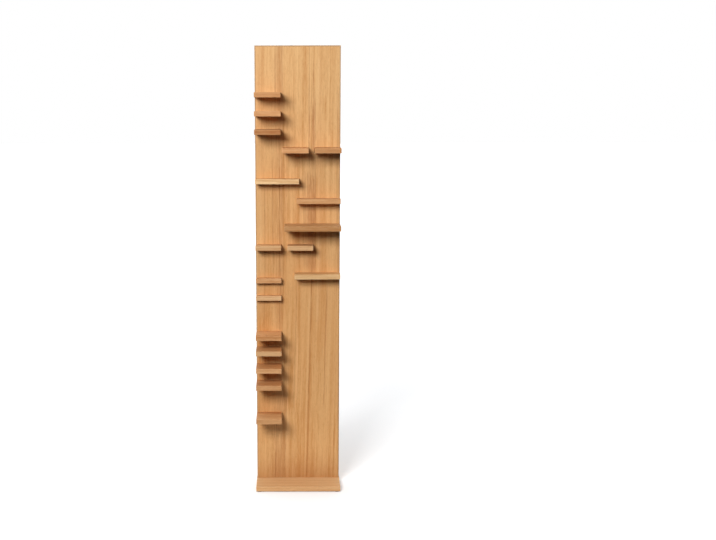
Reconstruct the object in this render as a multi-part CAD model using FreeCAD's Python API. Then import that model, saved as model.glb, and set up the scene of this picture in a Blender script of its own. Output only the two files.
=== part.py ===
import FreeCAD, Part
import os
from collections import namedtuple

# Spine bookshelf: one tall veneered panel stands on a shallow base board, and small
# shelves of different widths and reaches stand out of its front.
# Millimetres. +Z is up, the front faces -Y, and +X is to the right seen from the front.
# The origin is on the floor, in the middle of the bookshelf's bounding box.

# ---- back panel ---------------------------------------------------------------------
PANEL_WIDTH = 379.0
CORE_THICKNESS = 22.0
VENEER_THICKNESS = 0.6
LIPPING_THICKNESS = 5.0  # solid strips that close the panel's sides and top

# ---- base board and the felt pads under it ------------------------------------------
BASE_THICKNESS = 22.0
BASE_REACH = 125.0  # in front of the panel
BASE_REVEAL = 2.0  # past each side of the panel
PAD_THICKNESS = 2.0
PAD_RADIUS = 14.0
PAD_INSET = 15.0  # from the board's edges to the pad's middle

# ---- steel ballast plate let into the underside of the base --------------------------
BALLAST_THICKNESS = 6.0
BALLAST_FRONT_MARGIN = 15.0  # wood in front of the plate
BALLAST_PAD_GAP = 8.0
BALLAST_CORNER_RADIUS = 6.0
BALLAST_SINK = 0.5  # from the board's underside up to the plate
BALLAST_FIT = 0.3  # around the plate in its recess
BALLAST_SCREW_RADIUS = 2.0
BALLAST_SCREW_BITE = 10.0
BALLAST_SCREW_INSET = 14.0  # from the plate's sides

# ---- shelves ------------------------------------------------------------------------
SHELF_THICKNESS = 22.0
EDGE_EASE = 1.0  # rounding of the edges that a hand meets

# Rise: from the top of the level below to the top of this level. The lowest level
# rises from the base board's top.
RISE_LONE = 317.0
RISE_STACK_1 = 152.0
RISE_STACK_2 = 79.0
RISE_STACK_3 = 80.0
RISE_STACK_4 = 71.0
RISE_LEDGE_LOW = 167.0
RISE_LEDGE_HIGH = 80.0
RISE_MEDIUM_RIGHT = 24.0
RISE_MEDIUM_PAIR = 129.0
RISE_WIDE = 93.0
RISE_HALF_RIGHT = 115.0
RISE_HALF_LEFT = 88.0
RISE_DEEP_PAIR = 138.0
RISE_LADDER_1 = 80.0
RISE_LADDER_2 = 79.0
RISE_LADDER_3 = 81.0
TOP_MARGIN = 203.0  # panel above the highest shelf

NARROW_WIDTH = 115.0
HALF_WIDTH = 195.0
MEDIUM_RIGHT_WIDTH = 205.0
WIDE_WIDTH = 250.0
DEEP_RIGHT_WIDTH = 117.0
DEEP_PAIR_GAP = 26.0
MEDIUM_PAIR_GAP = 28.0

DEEP_REACH = 125.0
STACK_REACH = 110.0
MEDIUM_RIGHT_REACH = 70.0
MEDIUM_PAIR_REACH = 65.0
HALF_REACH = 62.0
SHALLOW_REACH = 30.0

# ---- dowels -------------------------------------------------------------------------
DOWEL_RADIUS = 4.0
DOWEL_CHAMFER = 0.8
DOWEL_IN_PANEL = 14.0
DOWEL_IN_SHELF = 26.0
DOWEL_IN_LEDGE = 16.0
DOWEL_IN_BASE = 14.0
DOWEL_UP_PANEL = 26.0
HOLE_ROOM = 1.0  # free space past the end of a dowel or a screw

# ---- screws -------------------------------------------------------------------------
SCREW_SINK = 0.3  # head below the surface
SHANK_CLEARANCE = 0.25  # around the shank in the piece that the head holds
LONG_SCREW_RADIUS = 2.5
LONG_SCREW_BITE = 36.0
MEDIUM_SCREW_RADIUS = 2.25
MEDIUM_SCREW_BITE = 26.0
SHORT_SCREW_RADIUS = 2.0
SHORT_SCREW_BITE = 17.0
BASE_SCREW_RADIUS = 2.5
BASE_SCREW_BITE = 47.0
HEAD_SPREAD = 2.4  # head's radius less the shank's, and the depth of its 45 degree cone
SCREW_TIP = 5.0
TIP_RADIUS = 0.4
DRIVE_WIDTH = 1.1
DRIVE_SPAN = 4.6
DRIVE_DEPTH = 1.9

# ---- keyhole hanger plates ----------------------------------------------------------
HANGER_DROP = 70.0  # from the panel's top to the plate's middle
HANGER_SPACING = 240.0
HANGER_RADIUS = 10.0
HANGER_SPAN = 36.0  # between the centres of the plate's round ends
HANGER_THICKNESS = 2.0
HANGER_FIT = 0.2  # around the plate in its seat
KEYHOLE_RADIUS = 5.0
KEYHOLE_SLOT_RADIUS = 2.25
KEYHOLE_LIFT = 14.0  # from the round entry up to the top of the slot
KEYHOLE_DROP = 6.0  # from the plate's middle down to the round entry
HEAD_ROOM_RADIUS = 7.0
HEAD_ROOM_DEPTH = 9.0
HANGER_SCREW_RADIUS = 1.6
HANGER_SCREW_BITE = 13.0
HANGER_SCREW_OFFSET = 20.0  # up and down from the plate's middle
HANGER_HEAD_SPREAD = 1.5
HANGER_SCREW_TIP = 3.0
HANGER_DRIVE_WIDTH = 0.7
HANGER_DRIVE_SPAN = 3.0
HANGER_DRIVE_DEPTH = 1.1

# ---- what follows from the sizes above ----------------------------------------------
OVERCUT = 1.0  # a cutting tool starts this far outside the surface

V = FreeCAD.Vector
UP = V(0, 0, 1)
INTO_FRONT = V(0, 1, 0)
INTO_BACK = V(0, -1, 0)

PANEL_THICKNESS = CORE_THICKNESS + 2 * VENEER_THICKNESS
DEEPEST = max(BASE_REACH, DEEP_REACH, STACK_REACH, MEDIUM_RIGHT_REACH,
              MEDIUM_PAIR_REACH, HALF_REACH, SHALLOW_REACH)
PANEL_BACK = (DEEPEST + PANEL_THICKNESS) / 2
PANEL_FRONT = PANEL_BACK - PANEL_THICKNESS
PANEL_MIDDLE = PANEL_BACK - PANEL_THICKNESS / 2
PANEL_LEFT = -PANEL_WIDTH / 2
PANEL_RIGHT = PANEL_WIDTH / 2
BASE_LEFT = PANEL_LEFT - BASE_REVEAL
BASE_RIGHT = PANEL_RIGHT + BASE_REVEAL
BASE_FRONT = PANEL_FRONT - BASE_REACH
PANEL_FOOT = PAD_THICKNESS + BASE_THICKNESS

Screw = namedtuple("Screw", "radius spread bite tip drive_width drive_span drive_depth")
Shelf = namedtuple("Shelf", "node left right top reach screw screw_count dowel_bite")


def wood_screw(radius, bite):
    """Countersunk screw of the kind that holds the shelves and the base."""
    return Screw(radius, HEAD_SPREAD, bite, SCREW_TIP, DRIVE_WIDTH, DRIVE_SPAN, DRIVE_DEPTH)


LONG_SCREW = wood_screw(LONG_SCREW_RADIUS, LONG_SCREW_BITE)
MEDIUM_SCREW = wood_screw(MEDIUM_SCREW_RADIUS, MEDIUM_SCREW_BITE)
SHORT_SCREW = wood_screw(SHORT_SCREW_RADIUS, SHORT_SCREW_BITE)
BASE_SCREW = wood_screw(BASE_SCREW_RADIUS, BASE_SCREW_BITE)
BALLAST_SCREW = wood_screw(BALLAST_SCREW_RADIUS, BALLAST_SCREW_BITE)
HANGER_SCREW = Screw(HANGER_SCREW_RADIUS, HANGER_HEAD_SPREAD, HANGER_SCREW_BITE,
                     HANGER_SCREW_TIP, HANGER_DRIVE_WIDTH, HANGER_DRIVE_SPAN,
                     HANGER_DRIVE_DEPTH)


# ---- where the shelves are ----------------------------------------------------------
def left_span(width):
    """Flush with the panel's left side."""
    return PANEL_LEFT, PANEL_LEFT + width


def right_span(width):
    """Flush with the panel's right side."""
    return PANEL_RIGHT - width, PANEL_RIGHT


def deep_centre_span():
    """Beside the deep shelf at the right, with a gap between them."""
    right = PANEL_RIGHT - DEEP_RIGHT_WIDTH - DEEP_PAIR_GAP
    return right - NARROW_WIDTH, right


def medium_centre_span():
    """Beside the medium shelf at the left, with a gap between them."""
    left = PANEL_LEFT + NARROW_WIDTH + MEDIUM_PAIR_GAP
    return left, left + NARROW_WIDTH


def deep(node, span, top, reach, screw_count=2):
    return Shelf(node, span[0], span[1], top, reach, LONG_SCREW, screw_count,
                 DOWEL_IN_SHELF)


def medium(node, span, top, reach, screw_count=2):
    return Shelf(node, span[0], span[1], top, reach, MEDIUM_SCREW, screw_count,
                 DOWEL_IN_SHELF)


def shallow(node, span, top, reach, screw_count=2):
    return Shelf(node, span[0], span[1], top, reach, SHORT_SCREW, screw_count,
                 DOWEL_IN_LEDGE)


narrow_left = left_span(NARROW_WIDTH)

lone_top = PANEL_FOOT + RISE_LONE
stack_1_top = lone_top + RISE_STACK_1
stack_2_top = stack_1_top + RISE_STACK_2
stack_3_top = stack_2_top + RISE_STACK_3
stack_4_top = stack_3_top + RISE_STACK_4
ledge_low_top = stack_4_top + RISE_LEDGE_LOW
ledge_high_top = ledge_low_top + RISE_LEDGE_HIGH
medium_right_top = ledge_high_top + RISE_MEDIUM_RIGHT
medium_pair_top = medium_right_top + RISE_MEDIUM_PAIR
wide_top = medium_pair_top + RISE_WIDE
half_right_top = wide_top + RISE_HALF_RIGHT
half_left_top = half_right_top + RISE_HALF_LEFT
deep_pair_top = half_left_top + RISE_DEEP_PAIR
ladder_1_top = deep_pair_top + RISE_LADDER_1
ladder_2_top = ladder_1_top + RISE_LADDER_2
ladder_3_top = ladder_2_top + RISE_LADDER_3
PANEL_TOP = ladder_3_top + TOP_MARGIN

SHELVES = [  # numbered from the top down
    deep("shelf_01_left", narrow_left, ladder_3_top, DEEP_REACH),
    deep("shelf_02_left", narrow_left, ladder_2_top, DEEP_REACH),
    deep("shelf_03_left", narrow_left, ladder_1_top, DEEP_REACH),
    deep("shelf_04_centre", deep_centre_span(), deep_pair_top, DEEP_REACH),
    deep("shelf_05_right", right_span(DEEP_RIGHT_WIDTH), deep_pair_top, DEEP_REACH),
    medium("shelf_06_left_half", left_span(HALF_WIDTH), half_left_top, HALF_REACH, 3),
    medium("shelf_07_right_half", right_span(HALF_WIDTH), half_right_top, HALF_REACH, 3),
    deep("shelf_08_right_wide", right_span(WIDE_WIDTH), wide_top, DEEP_REACH, 3),
    medium("shelf_09_left", narrow_left, medium_pair_top, MEDIUM_PAIR_REACH),
    medium("shelf_10_centre", medium_centre_span(), medium_pair_top, MEDIUM_PAIR_REACH),
    medium("shelf_11_right", right_span(MEDIUM_RIGHT_WIDTH), medium_right_top,
           MEDIUM_RIGHT_REACH, 3),
    shallow("shelf_12_left_ledge", narrow_left, ledge_high_top, SHALLOW_REACH),
    shallow("shelf_13_left_ledge", narrow_left, ledge_low_top, SHALLOW_REACH),
    deep("shelf_14_left", narrow_left, stack_4_top, STACK_REACH),
    deep("shelf_15_left", narrow_left, stack_3_top, STACK_REACH),
    deep("shelf_16_left", narrow_left, stack_2_top, STACK_REACH),
    deep("shelf_17_left", narrow_left, stack_1_top, STACK_REACH),
    deep("shelf_18_left", narrow_left, lone_top, DEEP_REACH),
]


# ---- plain forms --------------------------------------------------------------------
def block(x_span, y_span, z_span):
    size = [high - low for low, high in (x_span, y_span, z_span)]
    return Part.makeBox(*size, V(x_span[0], y_span[0], z_span[0]))


def eased(board, is_joint):
    """Round a board's edges, apart from those of the face that meets its neighbour."""
    edges = [edge for edge in board.Edges
             if not all(is_joint(corner.Point) for corner in edge.Vertexes)]
    return board.makeFillet(EDGE_EASE, edges)


def upright_slot(x, radius, z_span, y_start, depth):
    """Prism along Y with a round top and bottom, given the heights of their centres."""
    low, high = z_span
    middle = block((x - radius, x + radius), (y_start, y_start + depth), z_span)
    ends = [Part.makeCylinder(radius, depth, V(x, y_start, z), INTO_FRONT) for z in z_span]
    return middle.fuse(ends).removeSplitter()


def placed(shape, at, direction):
    """Copy of a shape drawn along +Z from the origin, moved to a place and a direction."""
    copy = shape.copy()
    copy.Placement = FreeCAD.Placement(at, FreeCAD.Rotation(UP, direction))
    return copy


# ---- dowels and screws, drawn along +Z ----------------------------------------------
def dowel(length):
    pin = Part.makeCylinder(DOWEL_RADIUS, length)
    rims = [edge for edge in pin.Edges if edge.Closed and len(edge.Vertexes) == 1]
    return pin.makeChamfer(DOWEL_CHAMFER, rims)


def dowel_hole(length):
    return Part.makeCylinder(DOWEL_RADIUS, length + 2 * HOLE_ROOM, V(0, 0, -HOLE_ROOM))


def screw(kind, grip):
    """A screw whose head holds a piece grip thick, with its head's face at the origin."""
    length = grip + kind.bite - SCREW_SINK
    neck = kind.spread
    head = Part.makeCone(kind.radius + kind.spread, kind.radius, kind.spread)
    shank = Part.makeCylinder(kind.radius, length - neck - kind.tip, V(0, 0, neck))
    point = Part.makeCone(kind.radius, TIP_RADIUS, kind.tip, V(0, 0, length - kind.tip))
    body = head.fuse([shank, point]).removeSplitter()
    wide = kind.drive_span / 2
    thin = kind.drive_width / 2
    depth_span = (-OVERCUT, kind.drive_depth)
    drive = block((-wide, wide), (-thin, thin), depth_span)
    drive = drive.fuse(block((-thin, thin), (-wide, wide), depth_span))
    return body.cut(drive)


def screw_hole(kind, grip):
    """Countersink, clearance hole and pilot hole, from the surface at the origin."""
    mouth = kind.radius + kind.spread + SCREW_SINK + OVERCUT
    sink_depth = SCREW_SINK + kind.spread
    start = V(0, 0, -OVERCUT)
    sink = Part.makeCone(mouth, kind.radius, sink_depth + OVERCUT, start)
    clearance = Part.makeCylinder(kind.radius + SHANK_CLEARANCE, grip + OVERCUT, start)
    pilot = Part.makeCylinder(kind.radius, grip + kind.bite + HOLE_ROOM)
    return sink.fuse([clearance, pilot])


def spread_evenly(low, high, count):
    """The middles of count equal stretches between low and high."""
    pitch = (high - low) / count
    return [low + pitch * (index + 0.5) for index in range(count)]


# ---- joints: every hole and its fastener come from the same place --------------------
class Joint:
    """The dowels, screws and cutting tools of one joint."""

    def __init__(self):
        self.dowels = []
        self.screws = []
        self.tools = []

    def add_dowel(self, start, direction, length):
        self.dowels.append(placed(dowel(length), start, direction))
        self.tools.append(placed(dowel_hole(length), start, direction))

    def add_screw(self, kind, surface, direction, grip):
        self.screws.append(placed(screw(kind, grip), surface + direction * SCREW_SINK, direction))
        self.tools.append(placed(screw_hole(kind, grip), surface, direction))


def shelf_joint(shelf):
    """A row at the shelf's mid thickness: a dowel near each end and screws between."""
    height = shelf.top - SHELF_THICKNESS / 2
    places = spread_evenly(shelf.left, shelf.right, shelf.screw_count + 2)
    joint = Joint()
    for x in (places[0], places[-1]):
        start = V(x, PANEL_FRONT - shelf.dowel_bite, height)
        joint.add_dowel(start, INTO_FRONT, shelf.dowel_bite + DOWEL_IN_PANEL)
    for x in places[1:-1]:
        joint.add_screw(shelf.screw, V(x, PANEL_BACK, height), INTO_BACK, PANEL_THICKNESS)
    return joint


def base_joint():
    """Dowels and screws from the base board up into the foot of the panel."""
    places = spread_evenly(PANEL_LEFT, PANEL_RIGHT, 6)
    joint = Joint()
    for x in (places[0], places[-1]):
        start = V(x, PANEL_MIDDLE, PANEL_FOOT - DOWEL_IN_BASE)
        joint.add_dowel(start, UP, DOWEL_IN_BASE + DOWEL_UP_PANEL)
    for x in places[1:-1]:
        joint.add_screw(BASE_SCREW, V(x, PANEL_MIDDLE, PAD_THICKNESS), UP, BASE_THICKNESS)
    return joint


# ---- ballast ------------------------------------------------------------------------
BALLAST_SIDE = PAD_INSET + PAD_RADIUS + BALLAST_PAD_GAP
BALLAST_X = (BASE_LEFT + BALLAST_SIDE, BASE_RIGHT - BALLAST_SIDE)
BALLAST_Y = (BASE_FRONT + BALLAST_FRONT_MARGIN, PANEL_FRONT)
BALLAST_FACE = PAD_THICKNESS + BALLAST_SINK


def ballast_form(growth, z_span):
    """The plate's outline, grown all round, between two heights."""
    form = block((BALLAST_X[0] - growth, BALLAST_X[1] + growth),
                 (BALLAST_Y[0] - growth, BALLAST_Y[1] + growth), z_span)
    corners = [edge for edge in form.Edges
               if abs(edge.Vertexes[0].Point.z - edge.Vertexes[1].Point.z) > growth + OVERCUT]
    return form.makeFillet(BALLAST_CORNER_RADIUS + growth, corners)


def ballast_joint():
    joint = Joint()
    for x in (BALLAST_X[0] + BALLAST_SCREW_INSET, BALLAST_X[1] - BALLAST_SCREW_INSET):
        for y in (BALLAST_Y[0] + BALLAST_SCREW_INSET, BALLAST_Y[1] - BALLAST_SCREW_INSET):
            joint.add_screw(BALLAST_SCREW, V(x, y, BALLAST_FACE), UP, BALLAST_THICKNESS)
    return joint


def ballast_recess():
    return ballast_form(BALLAST_FIT, (PAD_THICKNESS - OVERCUT, BALLAST_FACE + BALLAST_THICKNESS))


def ballast_plate(joint):
    plate = ballast_form(0, (BALLAST_FACE, BALLAST_FACE + BALLAST_THICKNESS))
    return plate.cut(joint.tools)


# ---- keyhole hangers ----------------------------------------------------------------
HANGER_HEIGHT = PANEL_TOP - HANGER_DROP
HANGER_PLACES = (-HANGER_SPACING / 2, HANGER_SPACING / 2)
KEYHOLE_SPAN = (HANGER_HEIGHT - KEYHOLE_DROP, HANGER_HEIGHT - KEYHOLE_DROP + KEYHOLE_LIFT)
HANGER_ENDS = (HANGER_HEIGHT - HANGER_SPAN / 2, HANGER_HEIGHT + HANGER_SPAN / 2)
HANGER_SEAT = PANEL_BACK - HANGER_THICKNESS


def hanger_joint():
    joint = Joint()
    for x in HANGER_PLACES:
        for height in (HANGER_HEIGHT - HANGER_SCREW_OFFSET, HANGER_HEIGHT + HANGER_SCREW_OFFSET):
            joint.add_screw(HANGER_SCREW, V(x, PANEL_BACK, height), INTO_BACK, HANGER_THICKNESS)
    return joint


def hanger_pocket(x):
    """Seat for the plate, and room behind it for the head of a wall screw."""
    seat = upright_slot(x, HANGER_RADIUS + HANGER_FIT, HANGER_ENDS, HANGER_SEAT,
                        HANGER_THICKNESS + OVERCUT)
    room_start = HANGER_SEAT - HEAD_ROOM_DEPTH
    room = upright_slot(x, HEAD_ROOM_RADIUS, KEYHOLE_SPAN, room_start,
                        HEAD_ROOM_DEPTH + OVERCUT)
    return seat.fuse(room)


def hanger_plate(x, joint):
    depth = HANGER_THICKNESS + 2 * OVERCUT
    start = HANGER_SEAT - OVERCUT
    plate = upright_slot(x, HANGER_RADIUS, HANGER_ENDS, HANGER_SEAT, HANGER_THICKNESS)
    entry = Part.makeCylinder(KEYHOLE_RADIUS, depth, V(x, start, KEYHOLE_SPAN[0]), INTO_FRONT)
    slot = upright_slot(x, KEYHOLE_SLOT_RADIUS, KEYHOLE_SPAN, start, depth)
    return plate.cut([entry, slot] + joint.tools)


# ---- the boards ---------------------------------------------------------------------
INNER_SPAN = (PANEL_LEFT + LIPPING_THICKNESS, PANEL_RIGHT - LIPPING_THICKNESS)
INNER_HEIGHT = (PANEL_FOOT, PANEL_TOP - LIPPING_THICKNESS)
PANEL_DEPTH = (PANEL_FRONT, PANEL_BACK)


def panel_layer(y_span, tools):
    """One layer of the panel between its lippings."""
    return block(INNER_SPAN, y_span, INNER_HEIGHT).cut(tools)


def side_lipping(x_span, outer_x):
    """Solid strip up one side of the panel, rounded at the top and along its outer edges."""
    strip = block(x_span, PANEL_DEPTH, (PANEL_FOOT, PANEL_TOP))
    inner_x = x_span[0] if outer_x == x_span[1] else x_span[1]

    def is_worked(edge):
        ends = [corner.Point for corner in edge.Vertexes]
        upright_inside = all(abs(end.x - inner_x) < EDGE_EASE / 2 for end in ends)
        at_foot = all(abs(end.z - PANEL_FOOT) < EDGE_EASE / 2 for end in ends)
        return not upright_inside and not at_foot

    return strip.makeFillet(EDGE_EASE, [edge for edge in strip.Edges if is_worked(edge)])


def top_lipping():
    """Solid strip between the side lippings, rounded along its two upper edges."""
    strip = block(INNER_SPAN, PANEL_DEPTH, (INNER_HEIGHT[1], PANEL_TOP))
    upper = [edge for edge in strip.Edges
             if all(corner.Point.z > PANEL_TOP - EDGE_EASE / 2 for corner in edge.Vertexes)
             and abs(edge.Vertexes[0].Point.y - edge.Vertexes[1].Point.y) < EDGE_EASE / 2]
    return strip.makeFillet(EDGE_EASE, upper)


def shelf_board(shelf, joint):
    board = block((shelf.left, shelf.right), (PANEL_FRONT - shelf.reach, PANEL_FRONT),
                  (shelf.top - SHELF_THICKNESS, shelf.top))
    board = eased(board, lambda point: point.y > PANEL_FRONT - EDGE_EASE / 2)
    return board.cut(joint.tools)


def base_board(tools):
    board = block((BASE_LEFT, BASE_RIGHT), (BASE_FRONT, PANEL_BACK),
                  (PAD_THICKNESS, PANEL_FOOT))
    return eased(board, lambda point: False).cut(tools)


def felt_pads():
    pads = []
    for x in (BASE_LEFT + PAD_INSET, BASE_RIGHT - PAD_INSET):
        for y in (BASE_FRONT + PAD_INSET, PANEL_BACK - PAD_INSET):
            pads.append(Part.makeCylinder(PAD_RADIUS, PAD_THICKNESS, V(x, y, 0)))
    return Part.makeCompound(pads)


# ---- build --------------------------------------------------------------------------
def gather(joints, pieces):
    """Compound of one kind of piece from many joints."""
    return Part.makeCompound([piece for joint in joints for piece in getattr(joint, pieces)])


def build():
    nodes = {}
    shelf_joints = {shelf.node: shelf_joint(shelf) for shelf in SHELVES}
    foot_joint = base_joint()
    plate_joint = ballast_joint()
    wall_joint = hanger_joint()

    panel_tools = [tool for joint in shelf_joints.values() for tool in joint.tools]
    panel_tools += foot_joint.tools + wall_joint.tools
    panel_tools += [hanger_pocket(x) for x in HANGER_PLACES]
    core_front = PANEL_FRONT + VENEER_THICKNESS
    core_back = PANEL_BACK - VENEER_THICKNESS
    nodes["back_panel_core"] = panel_layer((core_front, core_back), panel_tools)
    nodes["front_veneer"] = panel_layer((PANEL_FRONT, core_front), panel_tools)
    nodes["back_veneer"] = panel_layer((core_back, PANEL_BACK), panel_tools)
    nodes["left_lipping"] = side_lipping((PANEL_LEFT, INNER_SPAN[0]), PANEL_LEFT)
    nodes["right_lipping"] = side_lipping((INNER_SPAN[1], PANEL_RIGHT), PANEL_RIGHT)
    nodes["top_lipping"] = top_lipping()

    base_tools = foot_joint.tools + plate_joint.tools + [ballast_recess()]
    nodes["base_board"] = base_board(base_tools)
    nodes["base_dowels"] = gather([foot_joint], "dowels")
    nodes["base_screws"] = gather([foot_joint], "screws")
    nodes["ballast_plate"] = ballast_plate(plate_joint)
    nodes["ballast_screws"] = gather([plate_joint], "screws")
    nodes["felt_pads"] = felt_pads()

    for shelf in SHELVES:
        nodes[shelf.node] = shelf_board(shelf, shelf_joints[shelf.node])
    kinds = [
        ("long_shelf_screws", "screws", lambda shelf: shelf.screw is LONG_SCREW),
        ("medium_shelf_screws", "screws", lambda shelf: shelf.screw is MEDIUM_SCREW),
        ("short_shelf_screws", "screws", lambda shelf: shelf.screw is SHORT_SCREW),
        ("long_shelf_dowels", "dowels", lambda shelf: shelf.screw is not SHORT_SCREW),
        ("short_shelf_dowels", "dowels", lambda shelf: shelf.screw is SHORT_SCREW),
    ]
    for node, pieces, belongs in kinds:
        joints = [shelf_joints[shelf.node] for shelf in SHELVES if belongs(shelf)]
        nodes[node] = gather(joints, pieces)

    nodes["hanger_plates"] = Part.makeCompound(
        [hanger_plate(x, wall_joint) for x in HANGER_PLACES])
    nodes["hanger_screws"] = gather([wall_joint], "screws")
    return nodes


os.makedirs("parts", exist_ok=True)
for node, shape in build().items():
    shape.exportStep("parts/" + node + ".step")
    litres = shape.Volume / 1e6
    print(f"{node:22s} {len(shape.Solids):3d} solids  {litres:8.4f} l  valid {shape.isValid()}")
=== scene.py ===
# %% [markdown]
# # A spine bookshelf in warm oiled wood
# The bookshelf is one tall veneered panel on a shallow base board, with eighteen small
# shelves standing out of its front. All of these boards, and the dowels, screws and plates
# that hold them, arrive as finished meshes at their real size. What is left for Blender is
# what the eye reads as wood: light, grain, tone, worn edges and a satin of oil.
# We start by loading the meshes and by keeping their overall box, which sets the floor's
# height and the point that the softbox aims at.

# %% Load the boards and their fittings
import math
import random

import bpy
from mathutils import Matrix, Vector


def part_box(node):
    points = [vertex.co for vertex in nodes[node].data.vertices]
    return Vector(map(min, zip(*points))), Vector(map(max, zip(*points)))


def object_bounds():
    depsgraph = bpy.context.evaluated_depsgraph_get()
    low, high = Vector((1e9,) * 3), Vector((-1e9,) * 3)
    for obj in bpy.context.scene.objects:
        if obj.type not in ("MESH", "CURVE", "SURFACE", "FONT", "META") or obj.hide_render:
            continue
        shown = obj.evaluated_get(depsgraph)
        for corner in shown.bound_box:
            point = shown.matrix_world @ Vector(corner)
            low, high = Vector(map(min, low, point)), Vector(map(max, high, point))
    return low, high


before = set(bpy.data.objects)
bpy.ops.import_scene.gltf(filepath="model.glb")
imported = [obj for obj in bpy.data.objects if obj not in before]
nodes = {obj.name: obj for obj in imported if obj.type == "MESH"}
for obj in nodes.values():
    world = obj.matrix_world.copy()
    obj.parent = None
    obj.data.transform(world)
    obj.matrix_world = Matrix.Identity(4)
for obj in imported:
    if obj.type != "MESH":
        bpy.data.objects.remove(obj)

cad_low, cad_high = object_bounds()
print(len(nodes), "pieces, overall size in metres:", [round(v, 4) for v in cad_high - cad_low])

# %% [markdown]
# ## The camera
# A product photographer stands well back, so that the tall panel keeps its straight sides,
# and looks from eye height. Here the camera faces the panel squarely and looks nine degrees
# down, and a lens shift frames the bookshelf left of the middle: shifting slides the picture
# without turning the camera, so the panel is still seen from straight in front.

# %% Camera
CAMERA_DISTANCE = 4.745  # in front of the panel's face
CAMERA_HEIGHT = 1.758
CAMERA_SIDE = -0.0353  # left of the bookshelf's middle
LENS_MM = 53.38
SENSOR_MM = 36.0
PITCH_DOWN = math.radians(9.026)
ROLL = math.radians(-0.13)
SHIFT_X = 0.0949  # share of the picture's width
LEVEL = math.radians(90)  # a camera with no turn at all looks straight down

panel_low, panel_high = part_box("front_veneer")
camera_data = bpy.data.cameras.new("camera")
camera_data.lens = LENS_MM
camera_data.sensor_width = SENSOR_MM
camera_data.shift_x = SHIFT_X
camera = bpy.data.objects.new("camera", camera_data)
bpy.context.collection.objects.link(camera)
turn = Matrix.Rotation(LEVEL - PITCH_DOWN, 4, "X") @ Matrix.Rotation(ROLL, 4, "Z")
place = Vector((CAMERA_SIDE, panel_low.y - CAMERA_DISTANCE, CAMERA_HEIGHT))
camera.matrix_world = Matrix.Translation(place) @ turn
bpy.context.scene.camera = camera
bpy.context.scene.view_settings.view_transform = "Standard"
print("camera at", [round(v, 3) for v in camera.matrix_world.translation])

# %% [markdown]
# ## Shader maths that reads like arithmetic
# A material in Blender is a graph of nodes, and most of the graph here is arithmetic on
# numbers that vary over the surface. `Signal` wraps the output of a node and gives it
# Python's operators, so `1 - mask` adds a Math node and links it. `Graph` makes every other
# node, from its type, its settings and what goes into its sockets. `Finish` is the graph of
# one material, and the world's light has a plain `Graph` of its own.

# %% Signal
class Signal:
    """The output of a shader node, usable in a Python expression like a number."""

    def __init__(self, graph, socket):
        self.graph = graph
        self.socket = socket

    def maths(self, operation, *operands):
        return self.graph.node("ShaderNodeMath", {"operation": operation}, enumerate(operands))

    def __add__(self, other):
        return self.maths("ADD", self, other)

    def __sub__(self, other):
        return self.maths("SUBTRACT", self, other)

    def __rsub__(self, other):
        return self.maths("SUBTRACT", other, self)

    def __mul__(self, other):
        return self.maths("MULTIPLY", self, other)

    def __truediv__(self, other):
        return self.maths("DIVIDE", self, other)

    def __pow__(self, other):
        return self.maths("POWER", self, other)

    def __abs__(self):
        return self.maths("ABSOLUTE", self)

    __radd__ = __add__
    __rmul__ = __mul__

    def fraction(self):
        return self.maths("FRACT", self)

    def least(self, other):
        return self.maths("MINIMUM", self, other)

    def most(self, other):
        return self.maths("MAXIMUM", self, other)

    def rise(self, low, high):
        """0 below low, 1 above high, and a smooth step between them. It falls if low > high."""
        return self.graph.node("ShaderNodeMapRange", {"interpolation_type": "SMOOTHSTEP"},
                               {"Value": self, "From Min": low, "From Max": high})


print("a Signal knows", [name for name in vars(Signal) if not name.startswith("__")])

# %% Graph and Finish
class Graph:
    """A tree of shader nodes, which grows as the expressions ask for nodes."""

    def __init__(self, tree):
        self.tree = tree

    def plug(self, socket, value):
        if isinstance(value, Signal):
            self.tree.links.new(value.socket, socket)
        else:
            socket.default_value = value

    def node(self, kind, settings=(), inputs=(), outputs=(0,)):
        made = self.tree.nodes.new(kind)
        for name, value in dict(settings).items():
            setattr(made, name, value)
        for name, value in dict(inputs).items():
            self.plug(made.inputs[name], value)
        signals = [Signal(self, made.outputs[name]) for name in outputs]
        return signals[0] if len(signals) == 1 else signals

    def split(self, vector):
        return self.node("ShaderNodeSeparateXYZ", inputs={0: vector}, outputs=["X", "Y", "Z"])

    def seen_directly(self):
        """1 for rays from the camera, and for those that it sends on through gloss or glass."""
        camera_ray, gloss, glass = self.node(
            "ShaderNodeLightPath",
            outputs=["Is Camera Ray", "Is Glossy Ray", "Is Transmission Ray"])
        return camera_ray.most(gloss).most(glass)


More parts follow.
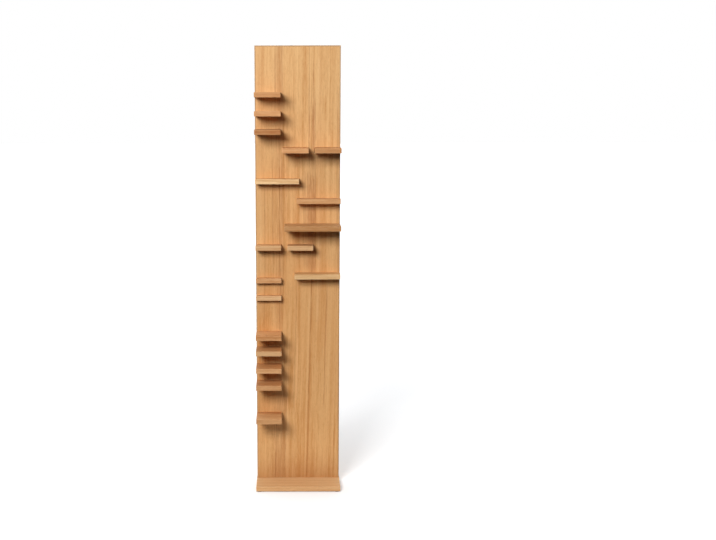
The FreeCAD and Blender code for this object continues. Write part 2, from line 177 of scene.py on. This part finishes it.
class Finish(Graph):
    """A material, and the nodes that make it up."""

    def __init__(self, name, **constants):
        self.material = bpy.data.materials.new(name)
        self.material.use_nodes = True
        super().__init__(self.material.node_tree)
        self.shader = self.tree.nodes["Principled BSDF"]
        self.feed({name.replace("_", " "): value for name, value in constants.items()})

    def feed(self, inputs):
        for name, value in inputs.items():
            self.plug(self.shader.inputs[name], value)

    def axes(self):
        """The place on the surface, in metres, as separate x, y and z."""
        return self.split(self.node("ShaderNodeTexCoord", outputs=["Object"]))

    def facing(self):
        """The surface's own direction as separate x, y and z."""
        return self.split(self.node("ShaderNodeNewGeometry", outputs=["Normal"]))

    def noise(self, x, y, z, detail=2.0):
        """Cloudy values around 0.5, with one wave to each unit of x, y and z."""
        place = self.node("ShaderNodeCombineXYZ", inputs=enumerate((x, y, z)))
        return self.node("ShaderNodeTexNoise",
                         inputs={"Vector": place, "Scale": 1.0, "Detail": detail})

    def clouds(self, waves, detail=2.0):
        """Noise over the surface, with so many waves to the metre along x, y and z."""
        place = [axis * number for axis, number in zip(self.axes(), waves)]
        return self.noise(*place, detail=detail)

    def blend(self, share, first, second):
        """A colour between two colours: the first at a share of 0, the second at 1."""
        return self.node("ShaderNodeMix", {"data_type": "RGBA"},
                         {0: share, 6: first, 7: second}, outputs=[2])

    def bump(self, height, depth, strength=1.0):
        """Normals of a surface that is raised by depth metres where height is 1."""
        return self.node("ShaderNodeBump", inputs={"Height": height, "Distance": depth,
                                                   "Strength": strength})


print("a Finish adds", [name for name in vars(Finish) if not name.startswith("__")])

# %% Colours, and who wears a finish
def rgb(red, green, blue):
    """The shader's linear colour for a colour written as it shows on a screen, 0 to 255."""
    return tuple(((v / 255 + 0.055) / 1.055) ** 2.4 for v in (red, green, blue)) + (1.0,)


def shifted(colour, change):
    """A screen colour made lighter or darker by the same amount in red, green and blue."""
    return tuple(v + change for v in colour)


def wear(node, finish):
    """Give a finish to a loaded piece."""
    slots = nodes[node].data.materials
    slots.clear()
    slots.append(finish.material)


print("a warm grey on screen is", [round(v, 3) for v in rgb(150, 140, 130)], "to the shader")

# %% [markdown]
# ## The room
# The floor is plain white and fades into a white background, as on a photographer's paper
# roll. To keep that white out of the light on the wood, the white belongs to what the
# camera sees: `Light Path` tells the shader which rays come from the camera, and only they
# meet the bright version. The air itself is dark in front, so that shadows on the panel stay
# deep. It is bright overhead, as under a studio ceiling, which lifts the tops of the
# shelves, and brighter still low down behind, where it reaches the back and the sides but
# neither the front nor much of the floor.

# %% Background
AIR_OVERHEAD = 1.0
OVERHEAD_FOCUS = 4.0  # the higher, the closer this light keeps to straight above
AIR_BEHIND = 4.0
HORIZON_FOCUS = 2.0  # the higher, the closer this light keeps to the horizon
BEHIND_STARTS = (0.0, 0.2)  # this light is none sideways and full from just behind that

world = bpy.data.worlds.new("studio_air")
world.use_nodes = True
bpy.context.scene.world = world
air = Graph(world.node_tree)
x, y, z = air.split(air.node("ShaderNodeTexCoord", outputs=["Generated"]))
seen = air.seen_directly()
light_in_air = (z.most(0.0) ** OVERHEAD_FOCUS * AIR_OVERHEAD
                + (1 - abs(z)) ** HORIZON_FOCUS * y.rise(*BEHIND_STARTS) * AIR_BEHIND)
background = world.node_tree.nodes["Background"]
air.plug(background.inputs["Color"], rgb(255, 255, 255))
air.plug(background.inputs["Strength"], light_in_air * (1 - seen) + seen)
print("the air shows white to the camera, and lights the wood from above and behind")

# %% [markdown]
# The floor's bright version is a glow plus ordinary white paper, so that the bookshelf's
# shadow still falls on it. The glow is faint near the base, where the shadow is deepest, and
# grows in two steps: the first lets the shadow fade, the second hides where the paper ends.
# For the light that the floor gives back to the wood, only a patch round the base is white.
# Seen from below, the floor is clear, so that the underside can be looked at. It is clear
# too for the very short rays between the underside and the floor, which lets light in there.

# %% Floor
FLOOR_REACH = 40.0
GLOW_AT_BASE = 0.155
SHADOW_FADES = (0.1, 1.6)  # metres from the bookshelf between which the first step rises
FADING_GLOW = 0.21
PAPER_FADES = (1.5, 4.0)  # metres from the bookshelf between which the second step rises
FAR_GLOW = 0.30
PATCH_ENDS = (0.3, 0.8)  # metres from the bookshelf between which the white patch ends
SHORT_RAYS = (0.00875, 0.007)  # metres between which a ray turns short
PAPER = rgb(244, 244, 244)
STUDIO_FLOOR = rgb(45, 45, 45)
GLOW_COLOUR = (0.93, 0.96, 1.0, 1.0)  # a breath of blue, which only shows in the shadow


def floor_finish():
    finish = Finish("studio_floor", Roughness=1.0, Specular_IOR_Level=0.0)
    x, y, z = finish.axes()
    distance = (x * x + y * y) ** 0.5
    seen = finish.seen_directly()
    bare = distance.rise(*PATCH_ENDS) * (1 - seen)
    finish.feed({"Base Color": finish.blend(bare, PAPER, STUDIO_FLOOR)})
    painted = Signal(finish, finish.shader.outputs[0])
    strength = (GLOW_AT_BASE + distance.rise(*SHADOW_FADES) * FADING_GLOW
                + distance.rise(*PAPER_FADES) * FAR_GLOW)
    glow = finish.node("ShaderNodeEmission", inputs={"Color": GLOW_COLOUR,
                                                     "Strength": strength})
    bright = finish.node("ShaderNodeAddShader", inputs={0: glow, 1: painted})
    shown = finish.node("ShaderNodeMixShader",
                        inputs={0: seen, 1: painted, 2: bright})
    clear = finish.node("ShaderNodeBsdfTransparent")
    below = finish.node("ShaderNodeNewGeometry", outputs=["Backfacing"])
    length = finish.node("ShaderNodeLightPath", outputs=["Ray Length"])
    unseen = below.most(length.rise(*SHORT_RAYS))
    sided = finish.node("ShaderNodeMixShader", inputs={0: unseen, 1: shown, 2: clear})
    finish.plug(finish.tree.nodes["Material Output"].inputs["Surface"], sided)
    return finish


bpy.ops.mesh.primitive_plane_add(size=2 * FLOOR_REACH, location=(0, 0, cad_low.z))
floor = bpy.context.object
floor.name = "floor"
floor.data.materials.append(floor_finish().material)
print("floor at height", round(cad_low.z, 4))

# %% [markdown]
# ## The lamps
# One large softbox stands in front of the bookshelf, to its left and higher than its top.
# Every shelf throws its shadow down and to the right, and the softbox is wide enough to
# blur a shadow that falls from far, yet leave it crisp right under the board. An area lamp
# is the natural choice, because its size is what softens the shadow.

# %% Softbox
SOFTBOX_PLACE = Vector((-1.41, -3.65, 2.90))
SOFTBOX_WIDTH = 1.6
SOFTBOX_HEIGHT = 1.4
SOFTBOX_WATTS = 185.0


def softbox(name, place, target, width, height, watts):
    data = bpy.data.lights.new(name, "AREA")
    data.shape = "RECTANGLE"
    data.size = width
    data.size_y = height
    data.energy = watts
    lamp = bpy.data.objects.new(name, data)
    bpy.context.collection.objects.link(lamp)
    lamp.location = place
    lamp.rotation_mode = "QUATERNION"
    lamp.rotation_quaternion = (target - place).to_track_quat("-Z", "Y")
    return lamp


middle = (cad_low + cad_high) / 2
key = softbox("key_softbox", SOFTBOX_PLACE, middle, SOFTBOX_WIDTH, SOFTBOX_HEIGHT,
              SOFTBOX_WATTS)
print("softbox at", [round(v, 2) for v in key.location])

# %% [markdown]
# ## How wood is made
# A board is a slice out of a trunk, and the trunk is the simplest way to make its figure:
# rings around the pith, a few millimetres apart. Each piece gets a pith somewhere outside
# the board. Distance from that line gives the ring, so the lines run on round every corner
# and the ends show arcs, with no texture to wrap. Streaks, fibres, flecks, pores and slow
# drifts of tone are noises that are stretched along the grain.

# %% The figure of a board
RING_PITCH = 0.0033
BAND_PITCH = 0.0100
LINE_PITCH, LINE_LENGTH = 0.0042, 0.700
STREAK_PITCH, STREAK_LENGTH = 0.0058, 0.110
FLECK_PITCH, FLECK_LENGTH = 0.0048, 0.024
FIBRE_PITCH, FIBRE_LENGTH = 0.0011, 0.055
PORE_PITCH, PORE_LENGTH = 0.0007, 0.014
SWAY = 0.016  # metres that slow waves push the rings about
SWAY_WAVES = (1.6, 9)  # to the metre, along the grain and across it
RIPPLE = 0.0016  # metres that quick waves do
RIPPLE_WAVES = (7, 45)
DRIFT_WAVES = (1.3, 6)
LATE_GROWTH = (0.25, 0.85)  # shares of a year between which its wood turns dark
YEAR_ENDS = (1.0, 0.93)  # and between which the next spring turns it light again
PORE_DOTS = (0.60, 0.72)
BAND_WAVES = 0.9  # to the metre along the grain
WIDER_BANDS = 3.5  # how much wider the broad bands are than the narrow ones
WIDER_BAND_WAVES = 0.55
WIDER_BAND_SEED = 9.5  # keeps the broad bands apart from the narrow ones
FACING = (0.55, 0.85)  # a surface counts as facing one way between these parts of 1
SEED_STEP_ALONG = 3.7  # metres along the grain from the wood of one seed to the next
SEED_STEP_STREAKS = 7.3  # waves of a streak from one seed to the next


class Figure:
    """What varies in one board: rings, bands of rings, streaks, fibres, pores and drift."""

    def __init__(self, finish, grain, pith, tilt, seed, ring_pitch=RING_PITCH,
                 band_pitch=BAND_PITCH, leaning=None):
        self.finish = finish
        x, y, z = finish.axes()
        self.along, self.across, self.deep = {"x": (x, z, y), "z": (z, x, y)}[grain]
        if leaning:
            self.across = leaning(self.along, self.across)
        nx, ny, nz = finish.facing()
        self.end = abs(nx if grain == "x" else nz).rise(*FACING)
        self.flat = abs(nz).rise(*FACING)
        far = self.along + SEED_STEP_ALONG * seed
        sway = self.waves(far, *SWAY_WAVES) - 0.5
        ripple = self.waves(far, *RIPPLE_WAVES) - 0.5
        side = self.across - pith[0] - self.along * tilt
        back = self.deep - pith[1]
        radius = (side * side + back * back) ** 0.5 + sway * SWAY + ripple * RIPPLE
        saw = (radius / ring_pitch).fraction()
        self.late = saw.rise(*LATE_GROWTH) * saw.rise(*YEAR_ENDS)
        self.band = finish.noise(radius / band_pitch, far * BAND_WAVES, seed)
        self.wide = finish.noise(radius / (WIDER_BANDS * band_pitch), far * WIDER_BAND_WAVES,
                                 seed + WIDER_BAND_SEED, detail=1)
        self.shift = seed * SEED_STEP_STREAKS
        self.line = self.stretched(LINE_PITCH, LINE_LENGTH, detail=1)
        self.streak = self.stretched(STREAK_PITCH, STREAK_LENGTH)
        self.fleck = self.stretched(FLECK_PITCH, FLECK_LENGTH, detail=1)
        self.fibre = self.stretched(FIBRE_PITCH, FIBRE_LENGTH)
        dots = self.stretched(PORE_PITCH, PORE_LENGTH, detail=1)
        self.pore = dots.rise(*PORE_DOTS) * (1.15 - self.late)
        drift_along, drift_across = DRIFT_WAVES
        self.drift = finish.noise(self.across * drift_across, self.deep * drift_across,
                                  far * drift_along, detail=1)

    def waves(self, far, along, across):
        """A soft noise with so many waves to the metre along the grain and across it."""
        return self.finish.noise(far * along, self.across * across, self.deep * across, detail=1)

    def stretched(self, pitch, length, detail=2.0):
        """A noise with waves one pitch wide across the grain and one length long."""
        return self.finish.noise(self.across / pitch, self.deep / pitch,
                                 self.along / length + self.shift, detail)


def nearness_to_edges(finish, low, high, reach):
    """1 on the edges of a box and 0 further than reach from all of them."""
    gaps = [(high[i] - low[i]) / 2 - abs(place - (high[i] + low[i]) / 2)
            for i, place in enumerate(finish.axes())]
    nearer = gaps[0].least(gaps[1])
    further = gaps[0].most(gaps[1])
    second = nearer.most(further.least(gaps[2]))
    return second.rise(reach, reach * 0.2)


shelf_low, shelf_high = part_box("shelf_01_left")
print("about", round((shelf_high.z - shelf_low.z) / RING_PITCH), "rings show in a shelf's edge")

# %% [markdown]
# ## From figure to colour
# Oiled wood is lighter in the spring growth and darker in the late growth. We start from
# the light colour, move towards the dark one where rings, bands, streaks and fibres say so,
# let a slow drift lean it to the warm side, then darken pores and thirsty end grain. Some
# boards get painted shade on their flat faces, tops and undersides, against their edges.
# Corners that hands touch are rubbed a little paler and smoother, and that paler edge also
# stands for a painted highlight along the rounded arris. The same figure drives the
# roughness and a very shallow relief, so that the gloss breaks up along the grain.

# %% Oiled wood
WOOD_GLOSS = 0.12
DARK_SHARE = 0.30  # how far the average spot is from the light colour to the dark one
LATE_DARKENS = 0.14
DARKENS = {"band": 1.4, "wide": 1.1, "line": 0.55, "streak": 0.65, "fleck": 0.45, "fibre": 0.50}
WARM_SHARE = 0.4
PORE_SHARE = 0.34
END_SHARE = 0.38
EDGE_SHARE = 0.36
PALE_EDGE_REACH = 0.0032  # metres in from an edge that is paler: rubbed, and a painted highlight
RELIEF_DEPTH = 0.00022
DARKENING = (0.78, 1.06, 1.10)  # wood that darkens loses more green and blue than red


class Tone:
    """The colours of a board: its light and dark wood, a warm one, its pores, its edges."""

    def __init__(self, colour, spread=26.0):
        red, green, blue = colour

        def step(share):
            change = spread * share
            return rgb(*(v + pull * change for v, pull in zip(colour, DARKENING)))

        self.light = step(0.65)
        self.dark = step(-1.15)
        self.edge = step(1.0)
        self.warm = rgb(red - 2, green - 8, blue - 9)
        self.pore = rgb(red * 0.66, green * 0.58, blue * 0.50)


def oiled_wood(name, grain, tone, pith, tilt=0.0, seed=0.0, box=None, face_shade=0.0, layers=(),
               **growth):
    finish = Finish(name, Specular_IOR_Level=WOOD_GLOSS)
    figure = Figure(finish, grain, pith, tilt, seed, **growth)
    darkness = figure.late * LATE_DARKENS
    for pattern, weight in DARKENS.items():
        darkness = darkness + (getattr(figure, pattern) - 0.5) * weight
    darkness = darkness + DARK_SHARE
    colour = finish.blend(darkness.rise(-0.1, 1.1), tone.light, tone.dark)
    colour = finish.blend(figure.drift.rise(0.42, 0.68) * WARM_SHARE, colour, tone.warm)
    # Painted shade on the board's flat faces, its top and underside.
    if face_shade:
        colour = finish.blend(figure.flat * face_shade, colour, tone.dark)
    for layer in layers:
        colour = layer(finish, figure, colour)
    colour = finish.blend(figure.pore * PORE_SHARE, colour, tone.pore)
    colour = finish.blend(figure.end * END_SHARE, colour, tone.pore)
    rough = 0.50 + figure.fibre * 0.12 + figure.pore * 0.10 + figure.end * 0.12
    # Paler edges: rubbed by hands, and a painted highlight along the rounded arris.
    if box:
        edge = nearness_to_edges(finish, *box, PALE_EDGE_REACH) * figure.fibre.rise(0.25, 0.6)
        colour = finish.blend(edge * EDGE_SHARE, colour, tone.edge)
        rough = rough - edge * 0.10
    relief = figure.fibre * 0.5 - figure.pore * 0.9 - figure.late * 0.3
    finish.feed({"Base Color": colour, "Roughness": rough,
                 "Normal": finish.bump(relief, depth=RELIEF_DEPTH, strength=0.55)})
    return finish


print("a tone holds", sorted(vars(Tone((210, 160, 110)))))

# %% [markdown]
# ## The panel
# The panel is a core board with a thin veneer on each face. Veneer is sliced along the
# trunk, so its grain runs the whole height in near-straight lines, upright at the top and
# leaning a little lower down, where the trunk did. A dozen or so growth lines stand out,
# and so do a few broad bands of darker or paler growth. They are too rare for a noise to
# place, so each has its own place across the panel, and the heights between which it
# shows. Each is crisp on the side where winter stopped the growth, and fades out on the
# other. The veneer comes from the foot of its trunk, where wood is a little redder, and its
# lowest part is darkened further by painted shade, where the panel meets the base board.

# %% Growth lines that stand out
PANEL_HONEY = (215, 164, 107)
VENEER_BANDS = 0.017
LEAN_BELOW = 1.0  # metres above the floor
LEAN = 0.0246  # metres sideways for each metre down
DARK_LINE = rgb(150, 87, 46)
PALE_LINE = rgb(234, 188, 134)
CRISP_SIDE = 0.0018  # metres over which a line begins
LINE_WANDER = 0.005  # metres that a line strays sideways on its way up
LINE_ENDS = 0.05  # metres over which a line fades at its lower and upper end
LOW_RED = rgb(234, 149, 71)
# painted shade where the panel meets the base board
FOOT_PAINTED_SHADE = rgb(142, 84, 44)


def leaning_veneer(along, across):
    """The place across the veneer, measured along its own slanting lines."""
    return across + (LEAN_BELOW - along).most(0.0) * LEAN


def growth_line(place, width, strength, low=0.0, high=2.1, colour=DARK_LINE):
    """A line of one colour along the grain, broken here and there, between two heights.

    It is crisp at its place and fades to nothing one width to the right of it, or to the
    left where the width is negative.
    """
    crisp = CRISP_SIDE / abs(width)

    def paint(finish, figure, under):
        wander = finish.noise(figure.along * 3.1, place * 40, low, detail=1) - 0.5
        side = (figure.across - place + wander * LINE_WANDER) / width
        ends = (figure.along.rise(low - LINE_ENDS, low + LINE_ENDS)
                * figure.along.rise(high + LINE_ENDS, high - LINE_ENDS))
        broken = figure.streak.rise(0.2, 0.5) * figure.fibre.rise(0.1, 0.6)
        mask = side.rise(-0.75 * crisp, 0.25 * crisp) * side.rise(1.0, 0.1)
        return finish.blend(mask * ends * broken * strength, under, colour)

    return paint


def turning_redder(top, end, share, colour):
    """Veneer that takes on a share of a redder colour between two heights, top to end; at the
    foot it is painted shade.
    """

    def paint(finish, figure, under):
        return finish.blend(figure.along.rise(top, end) * share, under, colour)

    return paint


FRONT_LINES = [
    growth_line(0.0615, 0.0090, 0.60, high=1.02),
    growth_line(0.0490, 0.0070, 0.50, low=1.50),
    growth_line(0.0665, 0.0090, 0.45, low=1.55, high=1.95),
    growth_line(0.1320, 0.0080, 0.55, low=0.38, high=0.90),
    growth_line(-0.1000, 0.0070, 0.35, low=1.78, high=1.98),
    growth_line(-0.0825, 0.0050, 0.55, low=0.98, high=1.58),
    growth_line(-0.0785, 0.0050, 0.55, low=0.70, high=0.98),
    growth_line(-0.1500, 0.0050, 0.40, low=0.72, high=1.38),
    growth_line(-0.1150, 0.0100, 0.35, low=1.00, high=1.50),
    growth_line(-0.0835, 0.0060, 0.75, high=0.33),
    growth_line(-0.0050, 0.0070, 0.35, low=0.35, high=0.92),
    growth_line(0.1840, 0.0080, 0.30, high=0.25),
    growth_line(0.0525, 0.0085, 0.60, high=0.90, colour=PALE_LINE),
    growth_line(0.0060, 0.0090, 0.80, low=0.42, high=0.70, colour=PALE_LINE),
]
BROAD_BANDS = [
    growth_line(0.0816, -0.0950, 0.55, low=1.00, high=1.45),
    growth_line(0.0816, -0.0400, 0.35, low=1.47, high=1.78),
    growth_line(-0.0620, -0.0650, 0.32, low=0.72),
    growth_line(-0.0365, -0.0900, 0.45, high=0.45),
    growth_line(0.1895, -0.0240, 0.40, low=0.95, high=1.80),
    growth_line(0.0890, 0.0250, 0.58, low=0.75, high=1.95, colour=PALE_LINE),
    growth_line(-0.1900, 0.0700, 0.42, low=0.80, colour=PALE_LINE),
    growth_line(-0.0340, 0.0260, 0.60, high=0.35, colour=PALE_LINE),
]
# A redder tone low on the veneer, and painted shade at its foot above the base board.
LOW_RED_AND_FOOT_SHADE = [turning_redder(1.10, 0.70, 0.10, LOW_RED),
              turning_redder(0.19, -0.02, 0.38, FOOT_PAINTED_SHADE)]
print(len(FRONT_LINES), "growth lines and", len(BROAD_BANDS), "bands stand out on the front")

# %% Veneer on both faces
FRONT_PITH = (0.75, 0.10)  # far to the side, so that the lines run straight
BACK_HONEY = (210, 160, 106)
BACK_PITH = (0.05, -0.06)
BACK_RINGS = 0.0042

wear("front_veneer", oiled_wood("front_veneer_oiled", "z", Tone(PANEL_HONEY), FRONT_PITH,
                                seed=2.0, layers=BROAD_BANDS + FRONT_LINES + LOW_RED_AND_FOOT_SHADE,
                                leaning=leaning_veneer, band_pitch=VENEER_BANDS))
wear("back_veneer", oiled_wood("back_veneer_oiled", "z", Tone(BACK_HONEY), BACK_PITH,
                               tilt=0.012, seed=5.0, ring_pitch=BACK_RINGS,
                               band_pitch=VENEER_BANDS))
print("the front leans by", round(LEAN_BELOW * LEAN * 1000), "mm at the foot")

# %% Solid lippings and the core between the veneers
panel_box = (Vector((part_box("left_lipping")[0].x, panel_low.y, panel_low.z - 0.1)),
             Vector((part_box("right_lipping")[1].x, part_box("back_veneer")[1].y,
                     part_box("top_lipping")[1].z)))
LIPPING_TONE = Tone((190, 148, 104), 22)
UPRIGHT_PITH = (0.30, -0.20)
TOP_PITH = (1.60, 0.20)
CORE_TONE = Tone((198, 168, 124), 20)
CORE_PITH = (0.1, 0.4)
CORE_RINGS = 0.0050

for index, node in enumerate(("left_lipping", "right_lipping")):
    wear(node, oiled_wood(node + "_oiled", "z", LIPPING_TONE, UPRIGHT_PITH, seed=11.0 + index,
                          box=panel_box))
wear("top_lipping", oiled_wood("top_lipping_oiled", "x", LIPPING_TONE, TOP_PITH, seed=14.0,
                               box=panel_box))
wear("back_panel_core", oiled_wood("core_raw", "z", CORE_TONE, CORE_PITH, seed=17.0,
                                   ring_pitch=CORE_RINGS))
print("panel box runs between", [[round(v, 4) for v in corner] for corner in panel_box])

# %% [markdown]
# ## The shelves
# Each shelf is cut from its own length of solid wood, with the grain running along it, and
# no two are alike: some are pale as straw, some are nearly brown. We name five tones and
# say which shelf has which. A seeded random generator then picks where each board lay in
# its trunk, so that the pattern differs from shelf to shelf and is the same on every run.

# %% Shelf tones
STRAW = (230, 189, 137)
SAND = (208, 159, 110)
AMBER = (208, 153, 102)
RUSSET = (198, 142, 92)
UMBER = (182, 125, 77)

SHELF_TONES = {
    "shelf_01_left": shifted(RUSSET, -3),
    "shelf_02_left": shifted(AMBER, 5),
    "shelf_03_left": shifted(UMBER, -5),
    "shelf_04_centre": shifted(AMBER, 6),
    "shelf_05_right": shifted(RUSSET, -8),
    "shelf_06_left_half": shifted(STRAW, 5),
    "shelf_07_right_half": shifted(AMBER, -3),
    "shelf_08_right_wide": shifted(SAND, -19),
    "shelf_09_left": shifted(SAND, -5),
    "shelf_10_centre": shifted(SAND, -3),
    "shelf_11_right": shifted(STRAW, -3),
    "shelf_12_left_ledge": shifted(AMBER, 3),
    "shelf_13_left_ledge": shifted(SAND, 8),
    "shelf_14_left": shifted(AMBER, 2),
    "shelf_15_left": shifted(SAND, -2),
    "shelf_16_left": shifted(AMBER, 2),
    "shelf_17_left": RUSSET,
    "shelf_18_left": shifted(RUSSET, -3),
}
# How much painted shade darkens each shelf's flat faces, its top and underside.
PAINTED_FACE_SHADE = {"shelf_01_left": 0.6, "shelf_04_centre": 0.8, "shelf_05_right": 0.3,
              "shelf_06_left_half": 1.0, "shelf_09_left": 0.2, "shelf_10_centre": 0.4,
              "shelf_11_right": 0.9, "shelf_12_left_ledge": 0.5, "shelf_13_left_ledge": 0.6,
              "shelf_14_left": 0.2, "shelf_15_left": 0.8, "shelf_16_left": 0.7,
              "shelf_17_left": 0.4}
JOINT_SIDE = Vector((0, 0.1, 0))  # the edge at the panel gets neither rubbing nor painted highlight
FIRST_SEED = 100
PITH_OFF = (0.05, 0.16)  # metres from a shelf's middle up or down to its pith
PITH_BEHIND = (0.03, 0.12)
MOST_TILT = 0.05

for index, (node, colour) in enumerate(SHELF_TONES.items()):
    chance = random.Random(FIRST_SEED + index)
    low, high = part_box(node)
    centre = (low + high) / 2
    pith = (centre.z + chance.choice((-1, 1)) * chance.uniform(*PITH_OFF),
            centre.y + chance.uniform(*PITH_BEHIND))
    finish = oiled_wood(node + "_oiled", "x", Tone(colour, 28), pith,
                        tilt=chance.uniform(-MOST_TILT, MOST_TILT), seed=20.0 + index,
                        box=(low, high + JOINT_SIDE), face_shade=PAINTED_FACE_SHADE.get(node, 0.0))
    wear(node, finish)
print(len(SHELF_TONES), "shelves in", len(set(SHELF_TONES.values())), "shades")

# %% [markdown]
# ## The base board
# The base is one wider board of the same wood, its grain running from side to side. It
# stands on felt pads and hides a black steel plate in its underside, whose weight keeps
# the empty bookshelf upright.

# %% Base board
base_low, base_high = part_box("base_board")
base_middle = (base_low + base_high) / 2
BASE_TONE = Tone((211, 166, 117), 22)
BASE_PITH = (base_middle.z - 0.30, base_middle.y - 0.35)
wear("base_board", oiled_wood("base_oiled", "x", BASE_TONE, BASE_PITH, tilt=0.01, seed=50.0,
                              box=(base_low, base_high)))
print("base board", [round(v, 4) for v in base_high - base_low])

# %% [markdown]
# ## Dowels and felt
# The dowels are raw beech, which is known by its short dark flecks. Felt is a mat of wool
# fibres: it has no gloss, so its look is all in a fine mottled colour, a fuzzy relief and
# a little sheen at glancing angles.

# %% Raw beech
BEECH_PALE = rgb(222, 188, 148)
BEECH_DEEP = rgb(196, 156, 116)
BEECH_DARK = rgb(140, 100, 68)
BEECH_FLECKS = (900, 500, 260)  # to the metre, across, deep and along the grain


def raw_beech(name, grain):
    finish = Finish(name, Specular_IOR_Level=0.3)
    figure = Figure(finish, grain, (0.4, 0.3), 0.0, 61.0)
    across, deep, along = BEECH_FLECKS
    fleck = finish.noise(figure.across * across, figure.deep * deep, figure.along * along, 1)
    colour = finish.blend(figure.fibre, BEECH_PALE, BEECH_DEEP)
    colour = finish.blend(fleck.rise(0.62, 0.70) * 0.5, colour, BEECH_DARK)
    finish.feed({"Base Color": colour, "Roughness": 0.62 + figure.fibre * 0.15,
                 "Normal": finish.bump(figure.fibre, depth=0.0002, strength=0.5)})
    return finish


for node in ("long_shelf_dowels", "short_shelf_dowels"):
    wear(node, raw_beech(node + "_beech", "x"))
wear("base_dowels", raw_beech("base_dowels_beech", "z"))
print("dowels in beech")

# %% Felt
WOOL_DARK = rgb(52, 46, 42)
WOOL_PALE = rgb(116, 106, 96)
TUFTS = (700, 700, 700)  # to the metre
MOTTLES = (120, 120, 120)

felt = Finish("wool_felt", Specular_IOR_Level=0.1, Sheen_Weight=0.4)
tuft = felt.clouds(TUFTS, detail=4)
mottle = felt.clouds(MOTTLES)
felt_colour = felt.blend(tuft * 0.6 + mottle * 0.4, WOOL_DARK, WOOL_PALE)
felt.feed({"Base Color": felt_colour, "Roughness": 0.85 + tuft * 0.15,
           "Normal": felt.bump(tuft, depth=0.0006)})
wear("felt_pads", felt)
print("felt under the base")

# %% [markdown]
# ## Steel
# Three kinds of steel show on the back and the underside. The screws are yellow-passivated
# zinc, the hanger plates are plain zinc with fine scratches, and the ballast plate is
# powder-coated black. Metals take nearly all their look from roughness: a smooth patch
# shows a clear highlight and a scuffed one spreads it, so noises drive the roughness.

# %% Screws
YELLOW_ZINC = rgb(186, 150, 84)
DULL_ZINC = rgb(164, 142, 110)
RECESS_PAINTED_SHADE = rgb(70, 58, 40)
ZINC_CLOUDS = (420, 420, 420)  # to the metre
SCREW_SCRATCHES = (260, 260, 2600)
RECESS = (0.0007, 0.0022)  # metres below the surface between which painted shade darkens the steel


def passivated_steel(name, surface, axis):
    """Yellow zinc, with painted shade in the recess below the screws' driving surface."""
    finish = Finish(name, Metallic=1.0)
    sunk = abs(finish.axes()[axis] - surface).rise(*RECESS)
    cloud = finish.clouds(ZINC_CLOUDS)
    scratch = finish.clouds(SCREW_SCRATCHES, detail=1)
    colour = finish.blend(cloud.rise(0.35, 0.7), YELLOW_ZINC, DULL_ZINC)
    # Painted shade in the drive recess of each screw.
    colour = finish.blend(sunk * 0.75, colour, RECESS_PAINTED_SHADE)
    finish.feed({"Base Color": colour, "Roughness": 0.30 + cloud * 0.14 + sunk * 0.2,
                 "Normal": finish.bump(scratch, depth=0.00005, strength=0.4)})
    return finish


back_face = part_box("back_veneer")[1].y
for node in ("long_shelf_screws", "medium_shelf_screws", "short_shelf_screws", "hanger_screws"):
    wear(node, passivated_steel(node + "_zinc", back_face, 1))
wear("base_screws", passivated_steel("base_screws_zinc", base_low.z, 2))
wear("ballast_screws", passivated_steel("ballast_screws_zinc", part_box("ballast_plate")[0].z, 2))
print("screws driven from the back at y =", round(back_face, 4))

# %% Hanger plates and ballast plate
BRIGHT_ZINC = rgb(196, 198, 200)
GREY_ZINC = rgb(166, 168, 172)
SPANGLES = (160, 160, 160)  # to the metre
PLATE_SCRATCHES = (1800, 300, 90)
COAT_BLACK = rgb(34, 34, 35)
COAT_SCUFFED = rgb(92, 90, 88)
PEEL = (900, 900, 900)  # to the metre, as on an orange's skin
SCUFFS = (60, 14, 60)

zinc = Finish("hanger_zinc", Metallic=1.0)
spangle = zinc.clouds(SPANGLES)
scratch = zinc.clouds(PLATE_SCRATCHES, detail=1)
zinc_colour = zinc.blend(spangle.rise(0.3, 0.7), BRIGHT_ZINC, GREY_ZINC)
zinc.feed({"Base Color": zinc_colour, "Roughness": 0.28 + spangle * 0.16 + scratch * 0.12,
           "Normal": zinc.bump(scratch, depth=0.00004, strength=0.5)})
wear("hanger_plates", zinc)

powder = Finish("ballast_powder_coat")
peel = powder.clouds(PEEL, detail=1)
scuff = powder.clouds(SCUFFS).rise(0.58, 0.72)
coat_colour = powder.blend(scuff * 0.5 + peel * 0.2, COAT_BLACK, COAT_SCUFFED)
powder.feed({"Base Color": coat_colour, "Roughness": 0.52 + peel * 0.1 + scuff * 0.15,
             "Normal": powder.bump(peel, depth=0.00012, strength=0.7)})
wear("ballast_plate", powder)
print("plates finished; pieces without a finish:",
      [node for node, piece in nodes.items() if not piece.data.materials])

# %% [markdown]
# ## Last checks
# The finishes changed no shape, so the bookshelf must still fill the box that it came
# with.
